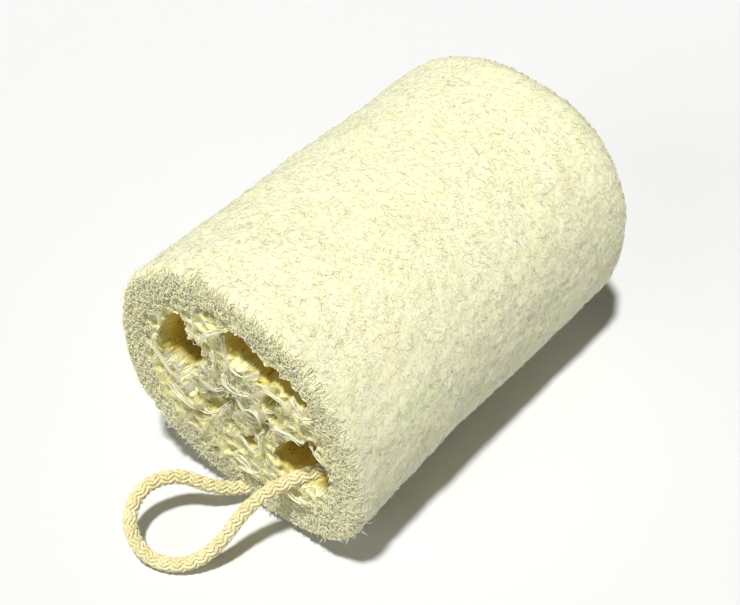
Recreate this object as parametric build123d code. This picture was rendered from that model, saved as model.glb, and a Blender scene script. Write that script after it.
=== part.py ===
from build123d import *
import os
from math import cos, pi, radians, sin, tan

# A short loofah segment that lies on its side, with a cotton hanging cord knotted inside one
# of its three chambers.  +Y runs along the fruit's axis, away from the cut face that the cord
# leaves, +Z is up, and the origin is on the ground under the middle of the sponge.  Sizes in mm.

# sponge
LENGTH = 136.0
WIDTH = 95.0
HEIGHT = 90.7
SQUARENESS = 2.15
RESTING_FLAT = 0.25
FRONT_ROUNDING = 3.0
BACK_ROUNDING = 13.0
OUTLINE_POINTS = 24

# layers
MAT_THICKNESS = 7.0
LINING_THICKNESS = 1.2

# chambers: centre (x, z), half length, half width, tilt of the long side from +X in degrees
CHAMBERS = {
    "left": ((-22.0, 54.0), 17.0, 9.8, 82.0),
    "top": ((12.5, 71.0), 16.8, 7.0, -6.0),
    "right": ((24.5, 38.6), 13.5, 11.0, 35.0),
}
CORE = ((-3.0, 44.5), 11.0, 7.5, 50.0)
CORE_HOLLOW = ((-7.2, 40.0), 4.6, 2.4, 50.0)

# the rays from the core where one piece ends and the next begins, in degrees from +X
SEPTUM_SPANS = {"right": (-11.0, 60.0), "upper": (60.0, 153.0), "lower": (153.0, 349.0)}
MAT_SPANS = {"top": (24.0, 106.0), "left": (106.0, 251.0), "right": (251.0, 384.0)}
WEDGE_REACH = 120.0
WEDGE_STEP = 40.0

# cord
CORD_DIAMETER = 4.5
TUNNEL_CLEARANCE = 0.1
BEND_SHARE = 0.45
CORD_ROUTE = [
    (25.4, -11.0, 32.0),
    (25.0, -30.0, 31.0),
    (23.6, -49.0, 30.7),
    (20.9, -67.5, 30.6),
    (14.5, -79.5, 23.5),
    (11.5, -90.5, 9.0),
    (5.5, -100.0, 3.0),
    (-5.0, -105.5, 3.5),
    (-15.5, -102.5, 9.0),
    (-19.0, -92.0, 14.5),
    (-13.5, -81.5, 15.0),
    (-4.5, -76.0, 9.0),
    (2.0, -65.0, 3.7),
    (6.5, -50.0, 10.0),
    (12.5, -35.0, 19.0),
    (18.0, -20.5, 27.0),
    (21.0, -8.0, 33.0),
]
KNOT_CENTRE = (23.2, -0.5, 35.0)
KNOT_RADII = (6.4, 7.4, 6.4)
TAIL_LENGTHS = {"long": 19.0, "short": 13.0}
TAIL_STARTS = {"long": (25.6, 4.0, 35.0), "short": (20.8, 4.0, 36.4)}
TAIL_DIRECTIONS = {"long": (0.12, 1.0, -0.02), "short": (-0.2, 1.0, 0.08)}


def section_plane(y):
    """The upright plane across the sponge at y, whose local x is +X and local y is +Z."""
    return Plane(origin=(0, y, 0), x_dir=(1, 0, 0), z_dir=(0, -1, 0))


def column(outline):
    """An outline of the section, drawn out along the whole sponge."""
    return extrude(section_plane(LENGTH / 2) * outline, amount=LENGTH)


def signed_power(value, power):
    return (1 if value > 0 else -1) * abs(value) ** power


def body_outline(inset):
    """The sponge's squarish round section, moved in by inset."""
    power = 2 / SQUARENESS
    middle = HEIGHT / 2 - RESTING_FLAT
    points = []
    for step in range(OUTLINE_POINTS):
        turn = 2 * pi * (step + 0.5) / OUTLINE_POINTS
        x = (WIDTH / 2 - inset) * signed_power(cos(turn), power)
        z = middle + (HEIGHT / 2 - inset) * signed_power(sin(turn), power)
        points.append((x, z))
    return make_face(Spline(*points, periodic=True))


def oval(centre, half_length, half_width, tilt, inset=0.0):
    """A tilted oval of the section, moved in by inset."""
    x, z = centre
    return Pos(x, z) * Rot(0, 0, tilt) * Ellipse(half_length - inset, half_width - inset)


def wedge(start, end):
    """The part of the section between two rays from the core's centre."""
    x, z = CORE[0]
    steps = max(1, round((end - start) / WEDGE_STEP))
    points = [(x, z)]
    for step in range(steps + 1):
        turn = radians(start + (end - start) * step / steps)
        points.append((x + WEDGE_REACH * cos(turn), z + WEDGE_REACH * sin(turn)))
    return make_face(Polyline(*points, close=True))


def sponge_envelope():
    """The whole sponge with no hollows: rounded ends and a narrow flat that it rests on."""
    body = column(body_outline(0))
    body = fillet(body.edges().group_by(Axis.Y)[-1], BACK_ROUNDING)
    body = fillet(body.edges().group_by(Axis.Y)[0], FRONT_ROUNDING)
    ground = Pos(0, 0, -HEIGHT / 2) * Box(2 * WIDTH, 2 * LENGTH, HEIGHT)
    return body - ground


def outer_mats(envelope):
    """The dense felted mat all round, one piece over each chamber's side of the sponge."""
    ring = envelope - column(body_outline(MAT_THICKNESS))
    return {f"outer_mat_{name}": ring & column(wedge(*span)) for name, span in MAT_SPANS.items()}


def septa(envelope):
    """The spongy partitions between the chambers, from the core out to the mat."""
    inside = envelope & column(body_outline(MAT_THICKNESS))
    inside -= column(oval(*CORE))
    for chamber in CHAMBERS.values():
        inside -= column(oval(*chamber))
    return {f"septum_{name}": inside & column(wedge(*span)) for name, span in SEPTUM_SPANS.items()}


def core_column(envelope):
    """The middle strand that the partitions meet at, with its own narrow hollow."""
    return envelope & (column(oval(*CORE)) - column(oval(*CORE_HOLLOW)))


def chamber_linings(envelope):
    """The thin smooth skin inside each chamber."""
    linings = {}
    for name, chamber in CHAMBERS.items():
        skin = column(oval(*chamber)) - column(oval(*chamber, inset=LINING_THICKNESS))
        linings[f"chamber_lining_{name}"] = envelope & skin
    return linings


def bend_radii(route):
    """Each corner's radius: as large as its two runs allow."""
    points = [Vector(*point) for point in route]
    radii = []
    for before, corner, after in zip(points, points[1:], points[2:]):
        turn = (corner - before).get_angle(after - corner)
        shorter = min((corner - before).length, (after - corner).length)
        radii.append(BEND_SHARE * shorter / tan(radians(turn / 2)))
    return radii


def cord_tube(diameter):
    """A round tube along the cord's whole route."""
    path = FilletPolyline(*CORD_ROUTE, radius=bend_radii(CORD_ROUTE))
    start = Plane(origin=path @ 0, z_dir=path % 0)
    return sweep(start * Circle(diameter / 2), path=path), path.length


def cord_knot():
    """The overhand knot that holds both ends of the cord inside the right chamber."""
    across, along, up = KNOT_RADII
    ball = scale(Sphere(1.0), by=(across, along, up))
    return Pos(*KNOT_CENTRE) * ball


def cord_tails(knot):
    """The two free ends that stand out of the knot."""
    tails = {}
    for name, length in TAIL_LENGTHS.items():
        start = Plane(origin=TAIL_STARTS[name], z_dir=TAIL_DIRECTIONS[name])
        tails[f"cord_tail_{name}"] = extrude(start * Circle(CORD_DIAMETER / 2), amount=length) - knot
    return tails


def build():
    envelope = sponge_envelope()
    nodes = outer_mats(envelope)
    nodes.update(septa(envelope))
    nodes["core_column"] = core_column(envelope)
    nodes.update(chamber_linings(envelope))

    tunnel, _ = cord_tube(CORD_DIAMETER + 2 * TUNNEL_CLEARANCE)
    for pierced in ("outer_mat_right", "septum_lower", "chamber_lining_right"):
        nodes[pierced] -= tunnel

    cord, cord_length = cord_tube(CORD_DIAMETER)
    knot = cord_knot()
    nodes["cord_loop"] = cord - knot
    nodes["cord_knot"] = knot
    nodes.update(cord_tails(knot))
    return nodes, cord, cord_length


def report_cord(cord, cord_length):
    section = pi * CORD_DIAMETER**2 / 4
    print("cord radii", [round(radius, 1) for radius in bend_radii(CORD_ROUTE)])
    print(f"cord length {cord_length:.1f}, volume share {cord.volume / section / cord_length:.3f}")


nodes, cord, cord_length = build()
os.makedirs("parts", exist_ok=True)
for name, shape in nodes.items():
    export_step(shape, f"parts/{name}.step")
report_cord(cord, cord_length)
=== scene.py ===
from math import cos, pi, radians, sin

import bpy
import numpy as np
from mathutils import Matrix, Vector
from mathutils.geometry import delaunay_2d_cdt


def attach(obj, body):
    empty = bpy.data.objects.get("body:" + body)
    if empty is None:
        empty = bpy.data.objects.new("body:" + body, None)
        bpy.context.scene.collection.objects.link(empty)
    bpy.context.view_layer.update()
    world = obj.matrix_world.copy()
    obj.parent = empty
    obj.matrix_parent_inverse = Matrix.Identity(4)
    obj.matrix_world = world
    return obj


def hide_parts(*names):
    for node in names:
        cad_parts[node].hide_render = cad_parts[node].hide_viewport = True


# A short loofah segment that lies on its side, with a cotton hanging cord knotted inside one of
# its chambers.  Sizes are in mm and become metres where a mesh is made.  +Y runs along the fruit's
# axis, away from the cut face that the cord leaves, and +Z is up.

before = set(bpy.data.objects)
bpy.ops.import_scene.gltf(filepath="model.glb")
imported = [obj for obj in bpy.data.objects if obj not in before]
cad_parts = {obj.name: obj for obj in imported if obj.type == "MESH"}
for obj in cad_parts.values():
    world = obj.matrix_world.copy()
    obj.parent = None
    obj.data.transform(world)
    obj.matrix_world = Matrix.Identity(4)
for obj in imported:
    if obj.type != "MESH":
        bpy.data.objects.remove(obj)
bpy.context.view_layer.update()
MM = 0.001

# camera: it looks at the target from an azimuth (0 looks along +Y) and an elevation, in degrees
CAMERA_TARGET = (-12.458, 5.153, 20.380)
CAMERA_AZIMUTH = 41.007
CAMERA_ELEVATION = 47.539
CAMERA_DISTANCE = 495.1
CAMERA_LENS = 72.97

# light: a small key high above, a broad fill from low in front, and a weak warm sky
KEY_HEADING = (-0.075, 0.23, -1.0)
KEY_STRENGTH = 3.95
KEY_ANGLE = 4.5
FILL_HEADING = (0.2, 1.0, -0.45)
FILL_STRENGTH = 0.75
FILL_ANGLE = 40.0
SUN_COLOUR = (1.0, 0.995, 0.97)
SKY_STRENGTH = 0.06
SKY_COLOUR = (1.0, 0.965, 0.80)
STAGE_RADIUS = 2.2
STAGE_BEND = 0.6
STAGE_WALL = 0.25

# sponge, as in the CAD
LENGTH = 136.0
WIDTH = 95.0
HEIGHT = 90.7
SQUARENESS = 2.15
RESTING_FLAT = 0.25
FRONT_ROUNDING = 3.0
BACK_ROUNDING = 13.0
MAT_THICKNESS = 7.0
FRONT = -LENGTH / 2
BACK = LENGTH / 2
CORE_CENTRE = (-3.0, 44.5)
CORE = (CORE_CENTRE, 11.0, 7.5, 50.0)
SEPTUM_SPANS = {"right": (-11.0, 60.0), "upper": (60.0, 153.0), "lower": (153.0, 349.0)}
# the front's own shape begins at SHAPED_FROM (y) and is full at the cut face: its left side,
# from LEAN_START (x) on, stands forward by FRONT_LEAN along LEAN_SLIDE
SHAPED_FROM = -12.0
LEAN_START = -2.0
LEAN_SPAN = 38.0
FRONT_LEAN = 7.0
LEAN_SLIDE = (0.87, -1.0, 1.45)
# how far the front rim is out of the round: (angle from +X, mm outward)
RIM_SHIFTS = [
    (0, 0.0), (30, -2.2), (50, -2.2), (70, -0.5), (90, 1.0), (107, 1.6), (135, -0.5), (150, -0.9),
    (165, -1.6), (182, -1.8), (208, -1.2), (228, -2.6), (245, -3.8), (270, -2.2), (300, 0.3),
    (320, 2.4), (340, 1.8),
]

# cord: sizes as in the CAD, and its route with a few points moved a little to suit the photo
CORD_DIAMETER = 4.5
CORD_ROUTE = [
    (25.4, -11.0, 32.0),
    (27.2, -30.0, 31.2),
    (29.2, -47.0, 31.3),
    (28.4, -58.0, 30.9),
    (22.0, -67.5, 30.0),
    (14.5, -79.5, 23.0),
    (12.0, -91.2, 10.0),
    (5.5, -100.0, 3.0),
    (-5.0, -105.5, 3.5),
    (-14.6, -103.5, 10.5),
    (-17.2, -94.1, 17.5),
    (-11.7, -83.6, 18.0),
    (-3.6, -77.0, 10.5),
    (2.0, -65.0, 3.7),
    (6.5, -50.0, 10.0),
    (12.5, -35.0, 19.0),
    (18.0, -20.5, 27.0),
    (21.0, -8.0, 33.0),
]
KNOT_CENTRE = (23.2, -0.5, 35.0)
KNOT_RADII = (6.4, 7.4, 6.4)
TAIL_LENGTHS = {"long": 19.0, "short": 13.0}
TAIL_STARTS = {"long": (25.6, 4.0, 35.0), "short": (20.8, 4.0, 36.4)}
TAIL_DIRECTIONS = {"long": (0.12, 1.0, -0.02), "short": (-0.2, 1.0, 0.08)}


# ---------------------------------------------------------------- meshes


def placed(name, data):
    """A new object in the scene."""
    item = bpy.data.objects.new(name, data)
    bpy.context.scene.collection.objects.link(item)
    return item


def add_piece(name, points, face_sets, material, nodes=()):
    """A mesh object from points in mm and arrays of faces, riding on the object's one body."""
    mesh = bpy.data.meshes.new(name)
    totals = np.concatenate([np.full(len(faces), faces.shape[1]) for faces in face_sets])
    corners = np.concatenate([faces.ravel() for faces in face_sets]).astype(np.int32)
    starts = np.concatenate([[0], np.cumsum(totals)[:-1]]).astype(np.int32)
    mesh.vertices.add(len(points))
    mesh.vertices.foreach_set("co", (np.asarray(points) * MM).astype(np.float32).ravel())
    mesh.loops.add(len(corners))
    mesh.loops.foreach_set("vertex_index", corners)
    mesh.polygons.add(len(totals))
    mesh.polygons.foreach_set("loop_start", starts)
    mesh.polygons.foreach_set("use_smooth", np.full(len(totals), True))
    mesh.update(calc_edges=True)
    mesh.validate()
    mesh.materials.append(material)
    piece = placed(name, mesh)
    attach(piece, "root")
    if nodes:
        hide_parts(*nodes)
    return piece


def paint(piece, values):
    """Stores a value from 0 to 1 on each point, which the material reads as depth."""
    attribute = piece.data.attributes.new("depth", "FLOAT", "POINT")
    attribute.data.foreach_set("value", np.clip(values, 0, 1).astype(np.float32))


def wrapped_faces(rows, columns):
    """Quads over a grid of points that closes on itself both ways."""
    low = np.arange(rows * columns).reshape(rows, columns)
    high = np.roll(low, -1, 0)
    return np.stack([low, high, np.roll(high, -1, 1), np.roll(low, -1, 1)], axis=-1).reshape(-1, 4)


def joined(parts):
    """Several (points, walls, caps) as one list of points and sets of faces."""
    points, sets, count = [], [], 0
    for part in parts:
        points.append(part[0])
        sets += [faces + count for faces in part[1:]]
        count += len(part[0])
    return np.concatenate(points), sets


def unit(vectors):
    return vectors / (np.linalg.norm(vectors, axis=-1, keepdims=True) + 1e-12)


def tube_frames(lines):
    """Directions along and across (count, steps, 3) lines, with no twist from step to step."""
    along = unit(np.gradient(lines, axis=1))
    first = along[:, 0]
    across = np.where(np.abs(first[:, 2:3]) < 0.8, [[0.0, 0.0, 1.0]], [[1.0, 0.0, 0.0]])
    sides = np.empty_like(lines)
    for step in range(lines.shape[1]):
        across = unit(across - (across * along[:, step]).sum(1, keepdims=True) * along[:, step])
        sides[:, step] = across
    return along, sides, np.cross(along, sides)


def tubes(lines, radii, corners):
    """Points and faces of closed tubes round (count, steps, 3) lines."""
    count, steps = lines.shape[:2]
    _, side, up = tube_frames(lines)
    turns = 2 * pi * np.arange(corners) / corners
    ring = side[:, :, None] * np.cos(turns)[:, None] + up[:, :, None] * np.sin(turns)[:, None]
    points = lines[:, :, None] + ring * np.broadcast_to(radii, (count, steps))[:, :, None, None]
    index = np.arange(count * steps * corners).reshape(count, steps, corners)
    low, high = index[:, :-1], index[:, 1:]
    walls = np.stack([low, np.roll(low, -1, 2), np.roll(high, -1, 2), high], axis=-1)
    caps = np.concatenate([index[:, 0, ::-1], index[:, -1]])
    return points.reshape(-1, 3), walls.reshape(-1, 4), caps


# ---------------------------------------------------------------- noise


def noise(points, size, seed):
    """Smooth noise from -1 to 1 with lumps about size across."""
    table = np.random.default_rng(seed).uniform(-1, 1, 8192)
    scaled = np.asarray(points) / size + 512.0
    cell = np.floor(scaled).astype(np.int64)
    share = scaled - cell
    share = share * share * (3 - 2 * share)
    total = 0.0
    for corner in np.ndindex(2, 2, 2):
        at = cell + np.array(corner)
        key = (at[..., 0] * 73856093) ^ (at[..., 1] * 19349663) ^ (at[..., 2] * 83492791)
        weight = np.prod(np.where(np.array(corner) == 1, share, 1 - share), axis=-1)
        total = total + weight * table[key & 8191]
    return total


# ---------------------------------------------------------------- materials


class Nodes:
    """Adds nodes to a material's tree and links them by position."""

    def __init__(self, name):
        self.material = bpy.data.materials.new(name)
        self.material.use_nodes = True
        self.tree = self.material.node_tree
        self.shader = self.tree.nodes["Principled BSDF"]
        self.place = self.add("ShaderNodeTexCoord").outputs["Object"]

    def add(self, kind, **settings):
        node = self.tree.nodes.new(kind)
        for key, value in settings.items():
            setattr(node, key, value)
        return node

    def link(self, output, socket):
        self.tree.links.new(output, socket)

    def noise(self, size, detail=2.0, roughness=0.5, stretch=None):
        """Noise with lumps about size mm across."""
        node = self.add("ShaderNodeTexNoise")
        node.inputs["Scale"].default_value = 1.0 / (size * MM)
        node.inputs["Detail"].default_value = detail
        node.inputs["Roughness"].default_value = roughness
        place = self.place
        if stretch:
            mapping = self.add("ShaderNodeMapping")
            mapping.inputs["Scale"].default_value = stretch
            self.link(place, mapping.inputs["Vector"])
            place = mapping.outputs["Vector"]
        self.link(place, node.inputs["Vector"])
        return node.outputs["Fac"]

    def ramp(self, value, stops):
        """A colour ramp with (position, colour) stops."""
        node = self.add("ShaderNodeValToRGB")
        points = node.color_ramp.elements
        while len(points) < len(stops):
            points.new(0.5)
        for point, (position, colour) in zip(points, stops):
            point.position = position
            point.color = (*colour, 1.0)
        self.link(value, node.inputs["Fac"])
        return node.outputs["Color"]

    def mix(self, share, first, second, blend="MIX"):
        """first and second are colours or outputs, and share a number or an output."""
        node = self.add("ShaderNodeMix", data_type="RGBA", blend_type=blend)
        for value, socket in ((share, node.inputs[0]), (first, node.inputs[6]), (second, node.inputs[7])):
            if isinstance(value, bpy.types.NodeSocket):
                self.link(value, socket)
            elif isinstance(value, tuple):
                socket.default_value = (*value, 1.0)
            else:
                socket.default_value = value
        return node.outputs[2]

    def glow(self, weight, reach):
        """Light that soaks through the fibres for about reach mm."""
        self.shader.inputs["Subsurface Weight"].default_value = weight
        self.shader.inputs["Subsurface Radius"].default_value = (1.0, 0.95, 0.6)
        self.shader.inputs["Subsurface Scale"].default_value = reach * MM

    def depth(self):
        """What paint stored on the piece."""
        return self.add("ShaderNodeAttribute", attribute_name="depth").outputs["Fac"]

    def grey(self, value, low, high, start=0.0, end=1.0):
        """Grey that goes from start, where value is low, to end, where it is high."""
        return self.ramp(value, [(low, (start,) * 3), (high, (end,) * 3)])

    def finish(self, value, rough, smoother, gloss):
        """Roughness that falls as value grows, and the amount of gloss."""
        self.link(self.grey(value, 0.3, 0.7, rough, smoother), self.shader.inputs["Roughness"])
        self.shader.inputs["Specular IOR Level"].default_value = gloss

    def colour(self, output):
        self.link(output, self.shader.inputs["Base Color"])

    def bump(self, height, depth):
        """Relief of about depth mm."""
        node = self.add("ShaderNodeBump")
        node.inputs["Distance"].default_value = depth * MM
        self.link(height, node.inputs["Height"])
        self.link(node.outputs["Normal"], self.shader.inputs["Normal"])


def felt_material(name, light, dark, warm, green, soak):
    """Matted plant fibre: patches of warmer and greener cream, fine specks, and no gloss. Light
    soaks through it by soak's weight and reach."""
    nodes = Nodes(name)
    patches = nodes.noise(16.0, 3.0, 0.55)
    specks = nodes.noise(0.9, 2.0, 0.6)
    blotches = nodes.noise(5.0, 2.0, 0.5)
    tint = nodes.ramp(patches, [(0.34, green), (0.5, light), (0.66, warm)])
    shade = nodes.ramp(blotches, [(0.30, dark), (0.58, light)])
    fine = nodes.ramp(specks, [(0.36, dark), (0.56, light)])
    nodes.colour(nodes.mix(0.4, nodes.mix(0.45, tint, shade), fine))
    nodes.finish(specks, 0.95, 0.75, 0.2)
    nodes.glow(*soak)
    nodes.bump(nodes.noise(0.5, 3.0, 0.65), 0.25)
    return nodes.material


# ---------------------------------------------------------------- camera, light and floor


def make_camera():
    azimuth, elevation = radians(CAMERA_AZIMUTH), radians(CAMERA_ELEVATION)
    away = Vector((sin(azimuth) * cos(elevation), -cos(azimuth) * cos(elevation), sin(elevation)))
    camera = placed("camera", bpy.data.cameras.new("camera"))
    camera.location = (Vector(CAMERA_TARGET) + away * CAMERA_DISTANCE) * MM
    camera.rotation_euler = away.to_track_quat("Z", "Y").to_euler()
    camera.data.lens = CAMERA_LENS
    camera.data.clip_start = 0.01
    bpy.context.scene.camera = camera


def make_sun(name, heading, strength, angle):
    sun = placed(name, bpy.data.lights.new(name, "SUN"))
    sun.data.energy = strength
    sun.data.angle = radians(angle)
    sun.data.color = SUN_COLOUR
    sun.rotation_euler = Vector(heading).to_track_quat("-Z", "Y").to_euler()


def make_light():
    """A fairly small key high above, a broad weak fill from low in front, and a weak warm sky."""
    make_sun("key", KEY_HEADING, KEY_STRENGTH, KEY_ANGLE)
    make_sun("fill", FILL_HEADING, FILL_STRENGTH, FILL_ANGLE)
    world = bpy.data.worlds.new("sky")
    world.use_nodes = True
    background = world.node_tree.nodes["Background"]
    background.inputs["Color"].default_value = (*SKY_COLOUR, 1)
    background.inputs["Strength"].default_value = SKY_STRENGTH
    bpy.context.scene.world = world
    bpy.context.scene.view_settings.view_transform = "Standard"


def make_stage():
    """A pale floor that curves up into a low wall far away."""
    turns = np.linspace(0, 2 * pi, 97)[:-1]
    bend = np.linspace(0, pi / 2, 9)
    radius = STAGE_RADIUS + STAGE_BEND * np.sin(bend)
    radius = np.concatenate([[0.3, STAGE_RADIUS / 2], radius, radius[-1:]])
    height = STAGE_BEND * (1 - np.cos(bend))
    height = np.concatenate([[0, 0], height, height[-1:] + STAGE_WALL])
    x, y = np.outer(radius, np.cos(turns)), np.outer(radius, np.sin(turns))
    points = np.stack([x, y, np.repeat(height[:, None], len(turns), 1)], axis=-1).reshape(-1, 3)
    index = np.arange(len(points)).reshape(len(radius), len(turns))
    low, high = index[:-1], index[1:]
    walls = np.stack([low, high, np.roll(high, -1, 1), np.roll(low, -1, 1)], axis=-1).reshape(-1, 4)
    mesh = bpy.data.meshes.new("floor")
    mesh.from_pydata(points.tolist(), [], walls.tolist() + [index[0].tolist()])
    for polygon in mesh.polygons:
        polygon.use_smooth = polygon.index < len(walls)
    floor = placed("floor", mesh)
    nodes = Nodes("paper")
    paper = nodes.ramp(nodes.noise(900.0), [(0.3, (0.665, 0.67, 0.685)), (0.7, (0.68, 0.685, 0.695))])
    nodes.colour(paper)
    nodes.shader.inputs["Roughness"].default_value = 0.9
    floor.data.materials.append(nodes.material)


# ---------------------------------------------------------------- cord

# the braid: carriers that wind round the core both ways, each with a few yarns side by side
CARRIERS = 4
YARNS = 2
BRAID_PITCH = 17.0
BRAID_RADIUS = 1.5
BRAID_WAVE = 0.36
YARN_RADIUS = 0.48
YARN_GAP = 0.86
YARN_SPREAD = 1.35
BRAID_STEP = 0.36
BRAID_CORE = 0.85
# loose hairs along the cord, and the brush at each of its cut ends
FUZZ_HAIRS = 900
FUZZ_REACH = 1.3
FUZZ_RADIUS = 0.05
BRUSH_HAIRS = 60
BRUSH_LENGTH = 3.0
BRUSH_RADIUS = 0.13


def spline_points(route, spacing):
    """Evenly spaced points, in mm, read from the route's own NURBS spline."""
    curve = bpy.data.curves.new("route", "CURVE")
    curve.dimensions = "3D"
    curve.resolution_u = 24
    spline = curve.splines.new("NURBS")
    spline.points.add(len(route) - 1)
    for point, place in zip(spline.points, route):
        point.co = (*[value * MM for value in place], 1)
    spline.order_u = 3
    spline.use_endpoint_u = True
    holder = placed("route", curve)
    mesh = bpy.data.meshes.new_from_object(holder)
    read = np.array([vertex.co[:] for vertex in mesh.vertices]) / MM
    bpy.data.objects.remove(holder)
    bpy.data.meshes.remove(mesh)
    return resample(read, spacing)


def run_of(line):
    """How far along a line each of its points is."""
    return np.concatenate([[0], np.cumsum(np.linalg.norm(np.diff(line, axis=0), axis=1))])


def resample(line, spacing):
    """The same line with points spacing apart."""
    run = run_of(line)
    steps = max(2, int(round(run[-1] / spacing)) + 1)
    wanted = np.linspace(0, run[-1], steps)
    return np.stack([np.interp(wanted, run, line[:, axis]) for axis in range(3)], axis=1)


def braid(line):
    """The yarns of a round braid along a line: (yarns, steps, 3) lines."""
    _, (side,), (up,) = tube_frames(line[None])
    turn = 2 * pi * run_of(line) / BRAID_PITCH
    wave = BRAID_WAVE * np.cos(CARRIERS * turn)
    yarns = []
    for hand in (1, -1):
        radius = (BRAID_RADIUS + hand * wave)[:, None]
        for carrier, yarn in np.ndindex(CARRIERS, YARNS):
            shift = (yarn - (YARNS - 1) / 2) * YARN_GAP / BRAID_RADIUS * YARN_SPREAD
            angle = (hand * turn + 2 * pi * carrier / CARRIERS + shift)[:, None]
            yarns.append(line + side * (radius * np.cos(angle)) + up * (radius * np.sin(angle)))
    return np.array(yarns)


def plaited(line, core_step=2):
    """A cord's yarns round its core, as tubes."""
    core = line[None, ::core_step]
    return [tubes(braid(line), YARN_RADIUS, 6), tubes(core, BRAID_RADIUS * BRAID_CORE, 8)]


def fuzz(line):
    """Short loose hairs that stand off a cord."""
    random = np.random.default_rng(11)
    _, (side,), (up,) = tube_frames(line[None])
    at = random.integers(2, len(line) - 2, FUZZ_HAIRS)
    turn = random.uniform(0, 2 * pi, FUZZ_HAIRS)
    off = side[at] * np.cos(turn)[:, None] + up[at] * np.sin(turn)[:, None]
    heading = unit(off * 0.6 + random.normal(0, 0.6, (FUZZ_HAIRS, 3)))
    length = random.uniform(0.5, 1.0, FUZZ_HAIRS)[:, None] * FUZZ_REACH
    start = line[at] + off * (BRAID_RADIUS + 0.5)
    bend = unit(random.normal(0, 1, (FUZZ_HAIRS, 3)))
    steps = np.linspace(0, 1, 5)[None, :, None]
    straight = start[:, None] + (heading * length)[:, None] * steps
    return straight + (bend * length)[:, None] * 0.35 * steps**2


def cotton_material():
    """Unbleached cotton yarn: pale straw, a little darker and browner here and there."""
    nodes = Nodes("cotton")
    patches = nodes.noise(7.0, 3.0, 0.6)
    fine = nodes.noise(0.45, 3.0, 0.6)
    straw = [(0.32, (0.66, 0.58, 0.31)), (0.52, (0.75, 0.69, 0.40)), (0.7, (0.80, 0.75, 0.48))]
    threads = nodes.ramp(fine, [(0.33, (0.54, 0.45, 0.22)), (0.55, (0.82, 0.76, 0.46))])
    nodes.colour(nodes.mix(0.35, nodes.ramp(patches, straw), threads))
    nodes.finish(fine, 0.95, 0.7, 0.2)
    nodes.shader.inputs["Sheen Weight"].default_value = 0.25
    nodes.shader.inputs["Sheen Roughness"].default_value = 0.5
    nodes.bump(nodes.noise(0.28, 2.0, 0.6), 0.12)
    return nodes.material


def make_cord(cotton):
    """The hanging loop as a braid, with its knot and its two frayed ends inside the sponge."""
    line = spline_points(CORD_ROUTE, BRAID_STEP)
    points, sets = joined(plaited(line, 3) + [tubes(fuzz(line), FUZZ_RADIUS, 3)])
    points[:, 2] = np.maximum(points[:, 2], 0.05)
    loop = add_piece("hanging_loop", points, sets, cotton, ["cord_loop"])
    knot = make_knot(cotton)
    tails = [make_tail(name, cotton) for name in TAIL_LENGTHS]


def make_knot(cotton):
    """An overhand knot pulled fairly tight."""
    turn = np.linspace(0, 2 * pi, 200)
    reach = np.array(KNOT_RADII) - CORD_DIAMETER / 2
    x = (np.sin(turn) + 2 * np.sin(2 * turn)) / 3
    y = -np.sin(3 * turn) * 0.75
    z = (np.cos(turn) - 2 * np.cos(2 * turn)) / 3
    line = resample(np.array(KNOT_CENTRE) + np.stack([x, y, z], axis=1) * reach, BRAID_STEP)
    points, sets = joined(plaited(line))
    return add_piece("overhand_knot", points, sets, cotton, ["cord_knot"])


def make_tail(name, cotton):
    """A free end of the cord, with a brush of loose yarn where it was cut."""
    start = np.array(TAIL_STARTS[name])
    heading = unit(np.array(TAIL_DIRECTIONS[name]))
    steps = np.linspace(0, TAIL_LENGTHS[name] - BRUSH_LENGTH, 24)[:, None]
    bow = np.array((0.0, 0.0, 1.0)) * np.sin(steps / TAIL_LENGTHS[name] * pi) * 0.4
    line = resample(start + heading * steps + bow, BRAID_STEP)
    random = np.random.default_rng(len(name))
    spread = random.normal(0, 1, (BRUSH_HAIRS, 3)) * 0.55
    reach = np.linspace(0, 1, 6)[None, :, None]
    brush = line[-1] + spread[:, None] * (0.9 + reach * 1.2) + heading * reach * BRUSH_LENGTH * 1.2
    points, sets = joined(plaited(line) + [tubes(brush, BRUSH_RADIUS, 4)])
    return add_piece(f"{name}_tail", points, sets, cotton, [f"cord_tail_{name}"])


# ---------------------------------------------------------------- the sponge's surfaces

ROUNDING_RUN = pi / 2 * FRONT_ROUNDING
SIDE_RUN = LENGTH - FRONT_ROUNDING - BACK_ROUNDING
BACK_RUN = pi / 2 * BACK_ROUNDING
WHOLE_RUN = ROUNDING_RUN + SIDE_RUN + BACK_RUN
RING_WIDTH = 10.5

# each chamber's mouth, as (x, z) round it
MOUTHS = {
    "left": [
        (-19, 72), (-24.5, 67.5), (-28.5, 60), (-32, 51.5), (-29.5, 45), (-25, 41), (-18.5, 36.5),
        (-14.5, 38), (-18, 43), (-18.8, 47), (-15, 51), (-11.8, 57), (-12.3, 62.5), (-17.5, 62.3),
    ],
    "top": [
        (-4.5, 69), (-3.5, 74.5), (1, 78.3), (6.2, 79), (12, 75.5), (18, 73.6), (25, 73.6),
        (30.2, 71.3), (28, 66.8), (22, 64.3), (15.4, 65.8), (10.5, 63), (7.5, 65), (1, 64),
    ],
    "right": [
        (13.3, 33), (15.5, 39.5), (19.5, 45.6), (27, 51), (32, 49.5), (35.3, 42), (34.8, 35),
        (31.5, 30.5), (26, 28.3), (20, 27.8), (15.5, 29.3),
    ],
    "core": [(-11.5, 36), (-9.5, 41.5), (-5, 46.3), (-3, 45.3), (-5.5, 40.5), (-9, 36)],
}

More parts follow.
